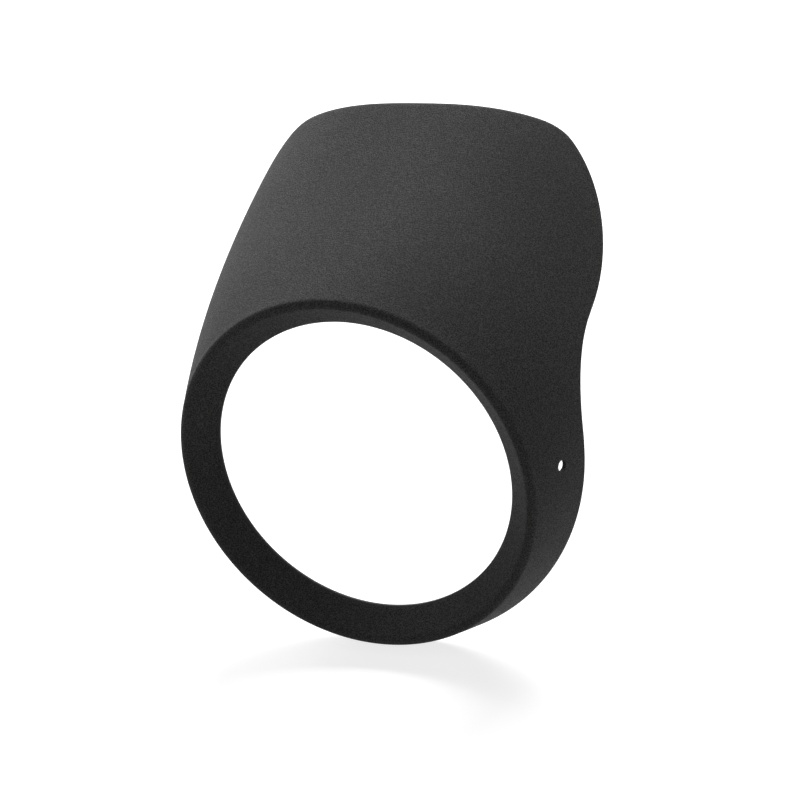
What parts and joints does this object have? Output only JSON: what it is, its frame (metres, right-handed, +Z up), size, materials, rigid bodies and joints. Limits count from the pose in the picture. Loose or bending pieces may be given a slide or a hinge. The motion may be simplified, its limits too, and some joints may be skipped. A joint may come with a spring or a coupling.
{
  "type": "headlight fairing",
  "caption": "Moulded black shell with a round lamp opening, a dished lip and a hood swept back over the lamp; a bolt hole in each side wall.",
  "frame": {"origin": "centre of the round lamp opening, in the plane of its front edge", "axes": "Y along the lamp's axis with the front facing -Y and the hood swept back towards +Y, +Z up, X = 0 is the plane of symmetry"},
  "size_m": [0.242, 0.1599, 0.2809],
  "materials": {
    "shell_plastic": "matte black with a fine moulded grain"
  },
  "bodies": {
    "root": {"fairing_shell": "shell_plastic"}
  },
  "joints": []
}
